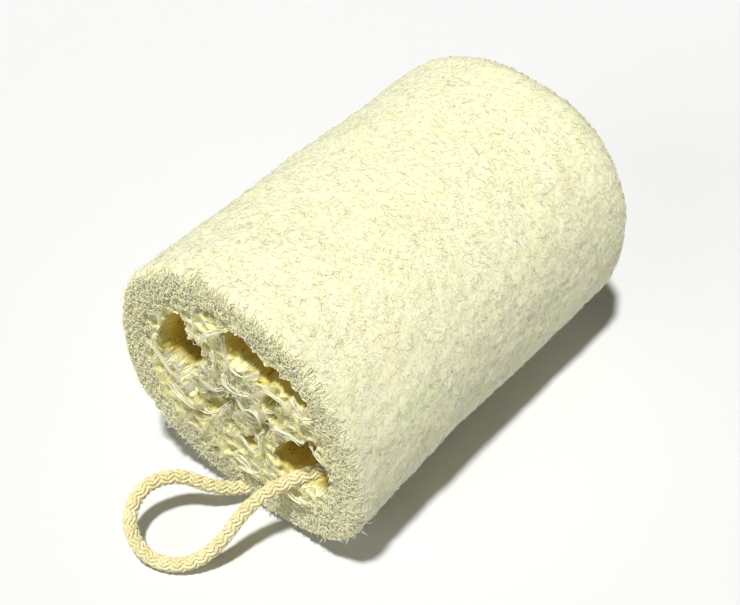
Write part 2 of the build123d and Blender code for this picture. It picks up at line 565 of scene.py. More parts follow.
# hollows in the cut face: (x, z), half length, half width, tilt, depth
HOLLOWS = [
    ((-8.5, 40.0), 10.5, 4.4, 52, 5.5),
    ((-15.5, 28.5), 5.0, 2.2, 25, 4.6),
    ((9.3, 43.0), 4.8, 2.0, 82, 8.0),
    ((13.6, 57.0), 5.2, 2.9, 48, 5.5),
    ((3.2, 29.6), 5.6, 3.0, 28, 5.0),
    ((13.6, 50.3), 1.3, 1.1, 0, 5.0),
    ((31.4, 53.6), 1.5, 1.0, 30, 4.5),
    ((34.4, 50.0), 1.2, 0.9, 0, 4.5),
    ((32.4, 57.5), 1.1, 0.8, 0, 3.0),
    ((-7.5, 78.0), 4.2, 1.8, 30, 3.0),
    ((-3.5, 52.5), 3.0, 1.6, 60, 2.4),
    ((6.2, 37.5), 3.4, 1.7, 40, 3.4),
    ((18.6, 55.0), 2.6, 1.4, 35, 2.6),
    ((-9.5, 55.5), 3.0, 1.6, 80, 2.2),
    ((2.5, 57.0), 3.0, 1.4, 0, 1.8),
    ((-4.5, 34.0), 3.2, 1.6, 40, 2.4),
    ((10.0, 22.5), 2.4, 1.2, 20, 1.8),
    ((-22.5, 31.5), 2.0, 1.2, 40, 1.6),
]
DEEP_HOLLOW = 4.0
CELL_SIZE = 5.4
CELL_DEPTH = 1.5


def signed_power(value, power):
    return np.sign(value) * np.abs(value) ** power


def outline(turn, inset):
    """(x, z) of the squarish round section at a turn, moved in by inset."""
    power = 2 / SQUARENESS
    x = (WIDTH / 2 - inset) * signed_power(np.cos(turn), power)
    z = HEIGHT / 2 - RESTING_FLAT + (HEIGHT / 2 - inset) * signed_power(np.sin(turn), power)
    return x, z


def outward(x, z):
    """The section's outward direction at a point."""
    across = signed_power(x / WIDTH * 2, SQUARENESS - 1) / WIDTH
    up = signed_power((z - HEIGHT / 2 + RESTING_FLAT) / HEIGHT * 2, SQUARENESS - 1) / HEIGHT
    size = np.hypot(across, up) + 1e-9
    return across / size, up / size


def inset_at(x, z):
    """How far inside the outline a point of the section is."""
    low, high = np.full(np.shape(x), -4.0), np.full(np.shape(x), HEIGHT / 2 - 0.5)
    for _ in range(22):
        middle = (low + high) / 2
        wide, tall = WIDTH / 2 - middle, HEIGHT / 2 - middle
        above = (z - HEIGHT / 2 + RESTING_FLAT) / tall
        within = np.abs(x / wide) ** SQUARENESS + np.abs(above) ** SQUARENESS < 1
        low, high = np.where(within, middle, low), np.where(within, high, middle)
    return (low + high) / 2


def smooth(value, start, end):
    share = np.clip((value - start) / (end - start), 0, 1)
    return share * share * (3 - 2 * share)


def relief(points):
    """The outside's swellings and dents, down to the size of a tuft."""
    return (
        0.75 * noise(points, 26.0, 1)
        + 0.35 * noise(points, 8.0, 2)
        + 0.22 * noise(points, 2.6, 3)
        + 0.16 * noise(points, 1.2, 4)
    )


def natural(points):
    """The fruit's own unevenness near the cut face: its rim is out of round, and its left side
    stands forward."""
    moved = np.array(points, dtype=float)
    height = moved[..., 2] - HEIGHT / 2
    near = smooth(-moved[..., 1], -SHAPED_FROM, -FRONT)
    angle = np.degrees(np.arctan2(height, moved[..., 0]))
    shift = np.interp(angle, *zip(*RIM_SHIFTS), period=360)
    share = np.minimum(np.hypot(moved[..., 0], height) / (HEIGHT / 2), 1.1) ** 3
    grow = near * shift * share / (HEIGHT / 2)
    moved[..., 0] += moved[..., 0] * grow
    moved[..., 2] += height * grow
    left = np.clip((LEAN_START - moved[..., 0]) / LEAN_SPAN, 0, 1.1)
    high = np.clip((moved[..., 2] - 20.0) / 70.0, 0, 1)
    moved += (near * FRONT_LEAN * left * (1 - 0.5 * high))[..., None] * np.array(LEAN_SLIDE)
    moved[..., 2] = np.maximum(moved[..., 2], 0.0)
    return moved


def skin(turn, run, lift=0.0):
    """Points on the outside, lift above it. run is the way along it from the front rounding's
    start: below zero it is on the cut face."""
    front = np.clip(run / ROUNDING_RUN, 0, 1) * pi / 2
    back = np.clip((run - ROUNDING_RUN - SIDE_RUN) / BACK_RUN, 0, 1) * pi / 2
    inset = FRONT_ROUNDING * (1 - np.sin(front)) + BACK_ROUNDING * (1 - np.cos(back))
    inset = inset + np.maximum(-run, 0) + np.maximum(run - WHOLE_RUN, 0)
    y = FRONT + FRONT_ROUNDING * (1 - np.cos(front)) + BACK_ROUNDING * np.sin(back)
    y = y + np.clip(run - ROUNDING_RUN, 0, SIDE_RUN)
    x, z = outline(turn, inset)
    across, up = outward(x, z)
    tilt = front + back - pi / 2
    normal = np.stack([across * np.cos(tilt), np.sin(tilt), up * np.cos(tilt)], axis=-1)
    base = np.stack([x, y, z], axis=-1)
    return base + normal * (lift + relief(base))[..., None]


def ellipse_share(x, z, centre, half_length, half_width, tilt):
    """0 at an oval's centre and 1 on its edge."""
    turn = radians(tilt)
    along = (x - centre[0]) * cos(turn) + (z - centre[1]) * sin(turn)
    off = -(x - centre[0]) * sin(turn) + (z - centre[1]) * cos(turn)
    return np.hypot(along / half_length, off / half_width)


def cell_walls(x, z, end):
    """1 on the spongy partitions' walls, and 0 in the cells between them."""
    random = np.random.default_rng(21 if end == "front" else 22)
    steps = np.arange(-48, 49, CELL_SIZE)
    seeds = np.stack(np.meshgrid(steps, steps + 45), axis=-1).reshape(-1, 2)
    seeds = seeds + random.uniform(-0.5, 0.5, seeds.shape) * CELL_SIZE
    place = np.stack([x, 0 * x, z], -1)
    x, z = x + 0.9 * noise(place, 3.0, 31), z + 0.9 * noise(place, 3.0, 32)
    near = next_near = np.full(np.shape(x), 1e9)
    for seed in seeds:
        gap = np.hypot(x - seed[0], z - seed[1])
        next_near = np.minimum(next_near, np.maximum(gap, near))
        near = np.minimum(near, gap)
    return 1 - smooth(next_near - near, 0.3, 2.6)


def hollow(x, z, end):
    """How deep the cut face's inner part is sunk, in mm."""
    inner = smooth(inset_at(x, z), MAT_THICKNESS + 0.5, RING_WIDTH + 2.5)
    depth = CELL_DEPTH * (1 - cell_walls(x, z, end)) * inner
    mirrored = x if end == "front" else -x
    for centre, half_length, half_width, tilt, deep in HOLLOWS:
        if end == "back":
            tilt = 180 - tilt
        share = ellipse_share(mirrored, z, centre, half_length, half_width, tilt)
        depth = np.maximum(depth, deep * (1 - smooth(share, 0.35, 1.15)))
    return depth


def cut_end(x, z, end, lift=0.0):
    """Points on a cut end at (x, z), lift above it."""
    inset = inset_at(x, z)
    if end == "front":
        drop = np.clip(FRONT_ROUNDING - inset, 0, FRONT_ROUNDING)
        fall = FRONT_ROUNDING - np.sqrt(FRONT_ROUNDING**2 - drop**2)
        over = 0.85 * np.minimum(inset, 0)
        across, up = outward(x, z)
        base = np.stack([x + over * across, FRONT + fall - over, z + over * up], axis=-1)
        normal = np.array([0.0, -1.0, 0.0])
    else:
        drop = np.clip(BACK_ROUNDING - inset, 0, BACK_ROUNDING)
        rise = np.sqrt(BACK_ROUNDING**2 - drop**2)
        base = np.stack([x, BACK - BACK_ROUNDING + rise, z], axis=-1)
        across, up = outward(x, z)
        lean = drop / BACK_ROUNDING
        normal = np.stack([across * lean, rise / BACK_ROUNDING, up * lean], axis=-1)
    return base + normal * (lift + relief(base) - hollow(x, z, end))[..., None]


# ---------------------------------------------------------------- mats

TURN_STEPS = 450
FACE_STEPS = 8
ROUNDING_STEPS = 8
SIDE_STEPS = 168
BACK_STEPS = 20
INNER_STEPS = 12


def skin_runs():
    """The steps along the outside, from the mat's inner edge in front to the one at the back."""
    end_tilt = np.arccos(1 - MAT_THICKNESS / BACK_ROUNDING)
    back = ROUNDING_RUN + SIDE_RUN
    return np.concatenate(
        [
            np.linspace(FRONT_ROUNDING - MAT_THICKNESS, 0, FACE_STEPS + 1)[:-1],
            np.linspace(0, ROUNDING_RUN, ROUNDING_STEPS + 1)[:-1],
            np.linspace(ROUNDING_RUN, back, SIDE_STEPS + 1)[:-1],
            np.linspace(back, back + end_tilt * BACK_ROUNDING, BACK_STEPS + 1),
        ]
    )


def make_mat(felt):
    """The felted outside as one closed shell, since the fruit's mat has no joint."""
    turns = 2 * pi * np.arange(TURN_STEPS) / TURN_STEPS
    grid_turn, grid_run = np.meshgrid(turns, skin_runs(), indexing="ij")
    outer = skin(grid_turn, grid_run)
    share = np.linspace(1, 0, INNER_STEPS + 1)[1:-1, None]
    inner = outer[:, :1] + (outer[:, -1:] - outer[:, :1]) * share
    points = natural(np.concatenate([outer, inner], axis=1))
    walls = wrapped_faces(*points.shape[:2])
    nodes = ["outer_mat_left", "outer_mat_top", "outer_mat_right"]
    add_piece("felt_mat", points.reshape(-1, 3), [walls], felt, nodes)


# ---------------------------------------------------------------- septa and core

EDGE_SPACING = 0.5
INSIDE_SPACING = 0.62


def closed_curve(corners, spacing, roughness=0.0, seed=0):
    """A smooth closed curve through (x, z) corners, slightly ragged."""
    corners = np.array(corners, dtype=float)
    spans = []
    share = np.linspace(0, 1, 17)[:-1, None]
    for index in range(len(corners)):
        a, b, c, d = (corners[(index + step) % len(corners)] for step in (-1, 0, 1, 2))
        curved = (2 * a - 5 * b + 4 * c - d) * share**2
        spans.append(0.5 * (2 * b + (c - a) * share + curved + (3 * b - a - 3 * c + d) * share**3))
    curve = np.concatenate(spans + [corners[:1]])
    curve = resample(np.insert(curve, 1, 0.0, axis=1), spacing)[:-1]
    curve = curve[:, [0, 2]]
    if roughness:
        place = np.stack([curve[:, 0], np.full(len(curve), 3.0 * seed), curve[:, 1]], axis=1)
        curve[:, 0] += roughness * noise(place, 1.7, 41)
        curve[:, 1] += roughness * noise(place, 1.7, 42)
    return curve


def mouth(name):
    return closed_curve(MOUTHS[name], EDGE_SPACING, 0.45, len(name))


def inside(points, loop):
    """Which (x, z) points lie inside a closed loop."""
    x, z = points[:, 0], points[:, 1]
    found = np.zeros(len(points), dtype=bool)
    for (x1, z1), (x2, z2) in zip(loop, np.roll(loop, -1, axis=0)):
        crosses = (z1 > z) != (z2 > z)
        with np.errstate(divide="ignore", invalid="ignore"):
            found ^= crosses & (x < (x2 - x1) * (z - z1) / (z2 - z1) + x1)
    return found


def off_mouths(x, z):
    """Which points of the section are outside all the mouths."""
    spots = np.stack([x, z], axis=1)
    return ~np.any([inside(spots, mouth(name)) for name in MOUTHS], axis=0)


def section_lines(loops, rim):
    """The section's fixed points and edges: round the loops and along the septa's borders."""
    points, edges = [], []
    for loop in loops:
        first = len(points)
        points += loop.tolist()
        edges += [(first + i, first + (i + 1) % len(loop)) for i in range(len(loop))]
    for start, _ in SEPTUM_SPANS.values():
        heading = np.array([cos(radians(start)), sin(radians(start))])
        ray = np.array(CORE_CENTRE) + heading * np.arange(6.0, 60.0, EDGE_SPACING)[:, None]
        ray = ray[inside(ray, rim)]
        first = len(points)
        points += ray.tolist()
        edges += [(first + i, first + i + 1) for i in range(len(ray) - 1)]
    return points, edges


def section_filling():
    """Uneven points that fill the section inside the mats."""
    random = np.random.default_rng(5)
    spread = np.arange(-48, 48, INSIDE_SPACING)
    grid = np.stack(np.meshgrid(spread, spread + 45), axis=-1).reshape(-1, 2)
    grid = grid + random.uniform(-0.22, 0.22, grid.shape) * INSIDE_SPACING
    return grid[(inset_at(*grid.T) > MAT_THICKNESS + 0.3) & off_mouths(*grid.T)]


def section_triangles():
    """The section inside the mats, as (x, z) points and each part's triangles."""
    turns = 2 * pi * np.arange(TURN_STEPS) / TURN_STEPS
    rim = np.stack(outline(turns, MAT_THICKNESS), axis=1)
    column = closed_curve(oval_points(*CORE), EDGE_SPACING)
    points, edges = section_lines([rim, *map(mouth, MOUTHS), column], rim)
    points += section_filling().tolist()
    result = delaunay_2d_cdt([Vector(point) for point in points], edges, [], 0, 1e-5, False)
    flat = np.array([point[:] for point in result[0]])
    triangles = np.array([face for face in result[2] if len(face) == 3])
    middle = flat[triangles].mean(axis=1)
    solid = inside(middle, rim) & off_mouths(*middle.T)
    in_column = inside(middle, column)
    ray = np.degrees(np.arctan2(middle[:, 1] - CORE_CENTRE[1], middle[:, 0] - CORE_CENTRE[0]))
    parts = {"core_column": triangles[solid & in_column]}
    for name, (start, end) in SEPTUM_SPANS.items():
        within = (ray - start) % 360 < end - start
        parts[f"septum_{name}"] = triangles[solid & ~in_column & within]
    return flat, parts


def oval_points(centre, half_length, half_width, tilt):
    turns = np.linspace(0, 2 * pi, 25)[:-1]
    along, off = half_length * np.cos(turns), half_width * np.sin(turns)
    turn = radians(tilt)
    x = centre[0] + along * cos(turn) - off * sin(turn)
    z = centre[1] + along * sin(turn) + off * cos(turn)
    return np.stack([x, z], axis=1)


def prism(flat, triangles):
    """Triangles of the section drawn out from the front end to the back, both in relief."""
    used, local = np.unique(triangles, return_inverse=True)
    local = local.reshape(-1, 3)
    x, z = flat[used].T
    front = cut_end(x, z, "front")
    back = cut_end(x, z, "back")
    count = len(used)
    a, b, c = flat[triangles].swapaxes(0, 1)
    turned = np.cross(b - a, c - a) < 0
    local[turned] = local[turned][:, ::-1]
    sides = np.concatenate([local[:, [0, 1]], local[:, [1, 2]], local[:, [2, 0]]])
    keys = {tuple(side) for side in sides.tolist()}
    rim = np.array([side for side in keys if side[::-1] not in keys])
    walls = np.stack([rim[:, 1], rim[:, 0], rim[:, 0] + count, rim[:, 1] + count], axis=1)
    return np.concatenate([front, back]), [local, local[:, ::-1] + count, walls]


def make_septa(spongy):
    flat, parts = section_triangles()
    for name, triangles in parts.items():
        points, sets = prism(flat, triangles)
        piece = add_piece(f"spongy_{name}", natural(points), sets, spongy, [name])
        # the hollows' depth, which the material paints as shade
        paint(piece, sunk_share(points))


def sunk_share(points):
    """How deep in a hollow each point lies, 0 to 1."""
    front = hollow(points[:, 0], points[:, 2], "front")
    back = hollow(points[:, 0], points[:, 2], "back")
    return np.where(points[:, 1] < 0, front, back) / DEEP_HOLLOW


# ---------------------------------------------------------------- chamber linings

LINING_STEPS = 150
LINING_DEPTH = 0.9
LINING_SUNK = 0.15
LINING_THINS = 6.0
RAGGED_EDGE = 0.9
# where the chambers' lips are pale further in, partly white membrane and partly painted light where the
# lips catch the light: (x, z), radius, how far in
PALE_LIT_LIPS = [((-25, 40), 7.0, 6.0), ((3, 63), 5.0, 3.0), ((22, 64), 4.0, 2.0), ((29, 29), 4.0, 3.0)]
LIP_DEPTH = 0.8
OLIVE_DEPTH = 5.0


def skin_light_and_shade(points):
    """0 where a chamber's skin is pale at its mouth, partly painted light, 0.3 where it turns olive, 1
    where amber; the darkening further in is painted shade.
    """
    reach = np.full(len(points), LIP_DEPTH)
    for (x, z), radius, far in PALE_LIT_LIPS:
        gap = np.hypot(points[:, 0] - x, points[:, 2] - z)
        reach = np.maximum(reach, far * (1 - smooth(gap, 0.5 * radius, 1.3 * radius)))
    reach = reach * (1 + 0.5 * noise(points, 1.5, 61))
    within = np.minimum(points[:, 1] - FRONT, BACK - points[:, 1])
    olive = np.clip(within / reach, 0, 1)
    return 0.3 * olive + 0.7 * np.clip((within - reach) / OLIVE_DEPTH, 0, 1)


def loop_frame(loop):
    """The directions along a loop and in from it, and whether it runs clockwise."""
    tangent = unit(np.roll(loop, -1, 0) - np.roll(loop, 1, 0))
    inward = np.stack([-tangent[:, 1], tangent[:, 0]], axis=1)
    clockwise = np.sum(inward * (loop.mean(axis=0) - loop), axis=1).mean() < 0
    return tangent, -inward if clockwise else inward, clockwise


def lining_ends(loop):
    """Where a chamber's skin begins and ends along the fruit, with ragged edges."""
    place = np.stack([loop[:, 0], np.full(len(loop), 9.0), loop[:, 1]], axis=1)
    ragged = np.clip(noise(place, 1.5, 51) + 0.5 * noise(place, 0.8, 52), -0.3, 1.2)
    front = cut_end(*loop.T, "front")[:, 1] - RAGGED_EDGE * ragged
    back = cut_end(*loop.T, "back")[:, 1] + RAGGED_EDGE * ragged
    return front[:, None], back[:, None]


def lining_side(loop, inward, off):
    """One side of a chamber's skin, off from its wall; the open side is ribbed."""
    depth = 0.5 * (1 - np.cos(pi * np.linspace(0, 1, LINING_STEPS))) * LENGTH
    front, back = lining_ends(loop)
    x, z = (np.repeat(loop[:, [axis]], LINING_STEPS, 1) for axis in (0, 1))
    side = np.stack([x, front + (back - front) * (depth / LENGTH), z], axis=-1)
    thin = smooth(np.minimum(depth, LENGTH - depth), 0, LINING_THINS) * 0.75 + 0.25
    push = off * thin
    if off > 0:
        ribs = 0.30 * noise(side * (1, 0.4, 1), 2.2, 53) + 0.22 * noise(side * (1, 0.35, 1), 0.8, 54)
        push = push + ribs * (0.5 + 0.5 * thin)
    side[..., 0] += inward[:, :1] * push
    side[..., 2] += inward[:, 1:] * push
    return side


def make_linings(amber):
    """The thin amber skin inside each chamber, ribbed, with pits painted on as dark dots of shade, ragged
    at the mouth, painted whiter there (partly white membrane, partly painted light) and darker further in
    (painted shade).
    """
    for name in ("left", "top", "right"):
        loop = mouth(name)
        _, inward, clockwise = loop_frame(loop)
        walls = lining_side(loop, inward, -LINING_SUNK), lining_side(loop, inward, LINING_DEPTH)
        points = np.concatenate([walls[0], walls[1][:, ::-1]], axis=1)
        faces = wrapped_faces(*points.shape[:2])
        faces = faces if clockwise else faces[:, ::-1]
        points = points.reshape(-1, 3)
        nodes = [f"chamber_lining_{name}"]
        piece = add_piece(f"chamber_skin_{name}", natural(points), [faces], amber, nodes)
        # how far in from the mouth each point lies: the material paints light at the lips and shade further
        # in
        paint(piece, skin_light_and_shade(points))


# ---------------------------------------------------------------- fibres

FELT_FIBRES = 44000
FELT_PIECES = 6
FELT_STEPS = 5
# a way round the fruit divided by this is the turn that it makes
MEAN_RADIUS = 46.0
RING_FIBRES = 6200
RING_STEPS = 6
RING_SHRINK = 0.6
INNER_FIBRES = 1300
STRAND_STEPS = 7
STRAND_SHRINK = 0.7


def paths(start_turn, bend, length, steps):
    """(across, along) offsets of curved hairs that start at 0, with a heading and a bend each."""
    run = np.linspace(0, 1, steps)[None] * length[:, None]
    heading = start_turn[:, None] + bend[:, None] * run
    shares = np.cos(heading[:, :-1]), np.sin(heading[:, :-1])
    return [np.insert(np.cumsum(share * np.diff(run), 1), 0, 0.0, axis=1) for share in shares]


def arched(count, steps, low, high, random):
    """Heights above the surface: the ends near low, the middle or one end near high."""
    share = np.linspace(0, 1, steps)[None]
    peak = random.uniform(0.3, 1.0, count)[:, None]
    curve = np.where(share < peak, share / peak, 1 - (share - peak) / (1.3 - peak))
    return low + (high - low)[:, None] * np.sin(np.clip(curve, 0, 1) * pi / 2)


def tapered(radius, steps):
    share = np.linspace(-1, 1, steps)[None]
    return radius[:, None] * (1 - 0.35 * share**2)


def add_hairs(name, hairs, corners, material):
    """A piece of hairs, given as lists of (lines, radii), that doesn't sink into the floor."""
    points, sets = joined([tubes(natural(lines), radii, corners) for lines, radii in hairs])
    points[:, 2] = np.maximum(points[:, 2], 0.0)
    add_piece(name, points, sets, material)


def make_felt_fibres(material):
    """Short matted fibres over the whole outside, mostly running round it."""
    random = np.random.default_rng(7)
    turn = random.uniform(0, 2 * pi, FELT_FIBRES)
    run = random.uniform(-1.0, WHOLE_RUN - 2.0, FELT_FIBRES)
    heading = random.normal(0, radians(55), FELT_FIBRES) + pi * random.integers(0, 2, FELT_FIBRES)
    length = random.uniform(1.2, 2.8, FELT_FIBRES)
    bend = random.normal(0, 0.8, FELT_FIBRES)
    across, along = paths(heading, bend, length, FELT_STEPS)
    loose = random.uniform(0, 1, FELT_FIBRES) ** 9
    high = 0.01 + 0.05 * random.uniform(0, 1, FELT_FIBRES) + loose * 0.7
    lift = arched(FELT_FIBRES, FELT_STEPS, -0.08, high, random)
    lines = skin(turn[:, None] + across / MEAN_RADIUS, run[:, None] + along, lift)
    radius = tapered(random.uniform(0.045, 0.085, FELT_FIBRES), FELT_STEPS)
    for piece in range(FELT_PIECES):
        hairs = [(lines[piece::FELT_PIECES], radius[piece::FELT_PIECES])]
        add_hairs(f"felt_fibres_{piece + 1}", hairs, 3, material)


def clear_of_mouths(lines, random, straying):
    """Which hairs stay out of the chambers' mouths; a few stray into them."""
    strays = random.uniform(0, 1, len(lines)) < straying
    halfway = lines.shape[1] // 2
    return strays | (off_mouths(*lines[:, halfway, ::2].T) & off_mouths(*lines[:, -1, ::2].T))


def ring_fibres(end, random):
    """Cut ends of the mat's fibres: short curls that stand and lie all ways on the ring."""
    turn = random.uniform(0, 2 * pi, RING_FIBRES)
    inset = random.uniform(0.2 if end == "front" else 5.0, RING_WIDTH + 1.5, RING_FIBRES)
    x, z = outline(turn, inset)
    keep = off_mouths(x, z)
    x, z = x[keep], z[keep]
    count = len(x)
    length = random.uniform(1.6, 4.4, count)
    bend = random.uniform(0.6, 1.5, count) * random.choice((-1, 1), count)
    across, along = paths(random.uniform(0, 2 * pi, count), bend, length, RING_STEPS)
    lift = arched(count, RING_STEPS, -0.15, random.uniform(0.1, 0.9, count), random)
    lines = cut_end(x[:, None] + across * RING_SHRINK, z[:, None] + along * RING_SHRINK, end, lift)
    lines = lines[clear_of_mouths(lines, random, 0.04)]
    return lines, tapered(random.uniform(0.14, 0.22, len(lines)), RING_STEPS)


def inner_fibres(end, random):
    """Finer and coarser strands on the walls between the hollows."""
    turn = random.uniform(0, 2 * pi, INNER_FIBRES * 3)
    inset = MAT_THICKNESS + 36.0 * random.uniform(0.02, 1, INNER_FIBRES * 3)
    x, z = outline(turn, np.minimum(inset, 43.0))
    keep = (cell_walls(x, z, end) > 0.35) & (hollow(x, z, end) < 2.4) & off_mouths(x, z)
    x, z = x[keep][:INNER_FIBRES], z[keep][:INNER_FIBRES]
    count = len(x)
    length = random.uniform(2.5, 8.0, count)
    turn = random.uniform(0, 2 * pi, count)
    across, along = paths(turn, random.normal(0, 0.5, count), length, STRAND_STEPS)
    lift = arched(count, STRAND_STEPS, -0.2, random.uniform(0.1, 1.0, count), random)
    x, z = x[:, None] + across * STRAND_SHRINK, z[:, None] + along * STRAND_SHRINK
    sunk = hollow(x, z, end)
    share = np.linspace(0, 1, STRAND_STEPS)[None]
    chord = sunk[:, :1] * (1 - share) + sunk[:, -1:] * share
    lines = cut_end(x, z, end, lift + sunk - np.minimum(sunk, chord))
    lines = lines[clear_of_mouths(lines, random, 0.02)]
    return lines, tapered(random.uniform(0.07, 0.14, len(lines)), STRAND_STEPS)


# strands that stand out on the cut face: (x, z, lift) along each, and the thickness
STRANDS = [
    ([(-13.5, 34, 1), (-9, 36.3, 1.6), (-4.8, 41, 1.2), (-1, 46, 0.8)], 0.30),
    ([(-3.2, 58, 1), (-1.4, 53, 1.6), (-3.4, 47.5, 0.6)], 0.30),
    ([(11.5, 62, 0.6), (16.9, 65.2, 1.8), (20.5, 64, 1.6), (22, 60.5, 0.8)], 0.42),
    ([(-9.3, 61.5, 0.6), (-9.4, 69.7, 1.6), (-4.4, 75.8, 1.5), (0.6, 79.4, 0.6)], 0.34),
    ([(-2.3, 74, 0.2), (-2.5, 66.5, 0.2), (1, 62.4, 0.8), (6.2, 64.7, 1.0), (11, 69.5, 0.2)], 0.30),
    ([(3.1, 45.8, 1), (9.3, 51.9, 1.6), (10.8, 46.9, 1)], 0.36),
    ([(6.9, 55.6, 1), (-0.5, 54.4, 1.4), (-3.4, 57.8, 1.0)], 0.30),
    ([(15.5, 48.5, 1), (22.4, 52.2, 1.6), (26.5, 50.4, 1)], 0.40),
    ([(14.5, 46.5, 1), (20.5, 50.5, 1.4), (27.5, 52.2, 0.8)], 0.30),
    ([(-13.6, 38.1, -0.6), (-8, 42.4, -1.4), (-4.1, 48.4, 0)], 0.24),
    ([(-10.8, 45, 0.2), (-7.6, 41.5, -1.0), (-3.8, 39.5, 0)], 0.20),
    ([(2.1, 50.9, 1), (5, 47.6, 1.2), (9.5, 46.8, 0.8)], 0.30),
    ([(-2.2, 28, 1.0), (1.5, 31.4, 0.8), (5.5, 29.3, 1.0), (10.1, 35.1, 1.5)], 0.26),
    ([(10.1, 35.1, 1.4), (9.2, 39, 1.0), (11.2, 44, 1.0)], 0.34),
    ([(-13.2, 49.7, 1.2), (-9, 46.6, 1.3), (-4.5, 50.3, 1.0)], 0.30),
    ([(-17, 48.4, 1.0), (-14, 50, 1.8), (-11.5, 49.6, 1.2)], 0.40),
    ([(26.4, 66.9, 1.8), (28.5, 65, 2.0), (31.8, 65.7, 1.0)], 0.45),
    ([(24.5, 69.5, 1.0), (26.8, 66.6, 2.2), (25.8, 63.8, 1.0)], 0.34),
    ([(-30, 56, 0.8), (-31.5, 50.5, 1.4), (-28, 45, 1.2), (-24.8, 40.5, 0.8)], 0.30),
    ([(-25.5, 36.5, 1), (-20.5, 35, 1.4), (-16.5, 33, 0.8)], 0.36),
    ([(1, 21, 1), (5, 19, 1.6), (9.5, 22, 1)], 0.40),
    ([(20, 25, 1.2), (24.5, 23.6, 1.8), (29, 26, 1)], 0.40),
    ([(12.5, 31, 1.0), (11.8, 27, 1.4), (15, 24.5, 1.0)], 0.34),
    ([(30, 53.5, 1.0), (33.5, 52, 1.5), (36, 47.5, 1.0)], 0.30),
    ([(-8.8, 56.5, 0.8), (-6, 60.5, 1.6), (-6.5, 65.5, 1.0)], 0.34),
    ([(-2.5, 18.5, 0.6), (1.5, 21.5, 1.8), (5, 17.5, 1.0)], 0.42),
    ([(0, 16.5, 0.8), (3.5, 19.5, 1.9), (8.5, 19, 1.0)], 0.38),
    ([(13, 21, 0.8), (17.5, 24.6, 1.8), (22, 22, 1.0)], 0.38),
]
BUNDLE = 5
BUNDLE_STEPS = 15
STREAK_STEPS = 9
STRAY_HAIRS = 420
STRAY_STEPS = 8
# where silky streaks run from the face over a lip into its chamber: mouth, (x, z), radius, count
STREAKS = [
    ("left", (-26, 40), 7.5, 70),
    ("left", (-16, 50), 4.5, 12),
    ("right", (19, 45), 6.0, 20),
    ("right", (28, 29), 5.0, 24),
    ("top", (3, 63), 5.0, 8),
]


def smooth_path(corners):
    """Points along a smooth curve near the corners."""
    numbers = range(len(corners))
    degree = min(3, len(corners) - 1)
    steps = np.linspace(0, len(corners) - 1, BUNDLE_STEPS)
    return np.stack([np.polyval(np.polyfit(numbers, line, degree), steps) for line in zip(*corners)], 1)


def bundles(random):
    """Each of the standing strands as a few hairs that twist together."""
    lines, radii = [], []
    share = np.linspace(0, 1, BUNDLE_STEPS)[:, None]
    for corners, thickness in STRANDS:
        for _ in range(BUNDLE):
            off = random.normal(0, 0.32, (3, 3))
            sway = off[0] * (1 - share) ** 2 + off[1] * share * (1 - share) * 4 + off[2] * share**2
            lines.append(smooth_path(corners) + sway)
            radii.append(thickness * random.uniform(0.35, 0.75))
    x, z, lift = np.moveaxis(np.array(lines), -1, 0)
    lines = cut_end(x, z, "front", lift + hollow(x, z, "front"))
    return lines, tapered(np.array(radii), BUNDLE_STEPS)


def streaks(random):
    """Silky hairs that come over a chamber's lip and run in along its wall."""
    lines, radii = [], []
    for name, centre, radius, count in STREAKS:
        loop = mouth(name)
        tangent, inward, _ = loop_frame(loop)
        near = np.flatnonzero(np.hypot(*(loop - centre).T) < radius)
        pick = random.choice(near, count)
        run = np.linspace(-1, 1, STREAK_STEPS)[None] * np.ones((count, 1))
        out = np.where(run < 0, -run, 0) * random.uniform(0.5, 3.0, count)[:, None]
        deep = np.where(run > 0, run, 0) * random.uniform(1.0, 4.5, count)[:, None]
        side = random.normal(0, 0.8, count)[:, None] * run
        across = -out + LINING_DEPTH * np.minimum(deep / 4, 1) * 0.9 + 0.25
        start, inward, tangent = (values[pick].T[..., None] for values in (loop, inward, tangent))
        x, z = start + inward * across + tangent * side
        line = cut_end(x, z, "front", 0.35)
        rim = cut_end(*loop[pick].T, "front")[:, 1][:, None]
        line[..., 1] = np.where(run > 0, rim + deep, line[..., 1])
        lines.append(line)
        radii.append(random.uniform(0.09, 0.16, count))
    return np.concatenate(lines), tapered(np.concatenate(radii), STREAK_STEPS)


def stray_hairs(random):
    """Long loose hairs that stand off the front rim, most of them low down."""
    turn = radians(1) * random.normal(250, 50, STRAY_HAIRS)
    run = random.uniform(-3.0, 6.0, STRAY_HAIRS)
    base = skin(turn, run, -0.3)
    lean = random.normal(0, 0.045, STRAY_HAIRS)
    further = random.normal(0, 2.5, STRAY_HAIRS)
    tip = skin(turn + lean, run + further, random.uniform(0.5, 2.4, STRAY_HAIRS))
    curl = unit(random.normal(0, 1, (STRAY_HAIRS, 3))) * random.uniform(0.3, 1.1, (STRAY_HAIRS, 1))
    share = np.linspace(0, 1, STRAY_STEPS)[None, :, None]
    lines = base[:, None] + (tip - base)[:, None] * share + curl[:, None] * np.sin(1.6 * pi * share) * share
    return lines, tapered(random.uniform(0.06, 0.11, STRAY_HAIRS), STRAY_STEPS)


def make_strands(material):
    random = np.random.default_rng(17)
    hairs = [bundles(random), streaks(random), stray_hairs(random)]
    add_hairs("standing_strands", hairs, 4, material)


def make_end_fibres(ring_material, inner_material):
    for end, seed in (("front", 13), ("back", 14)):
        random = np.random.default_rng(seed)
        add_hairs(f"ring_curls_{end}", [ring_fibres(end, random)], 3, ring_material)
        add_hairs(f"inner_strands_{end}", [inner_fibres(end, random)], 3, inner_material)


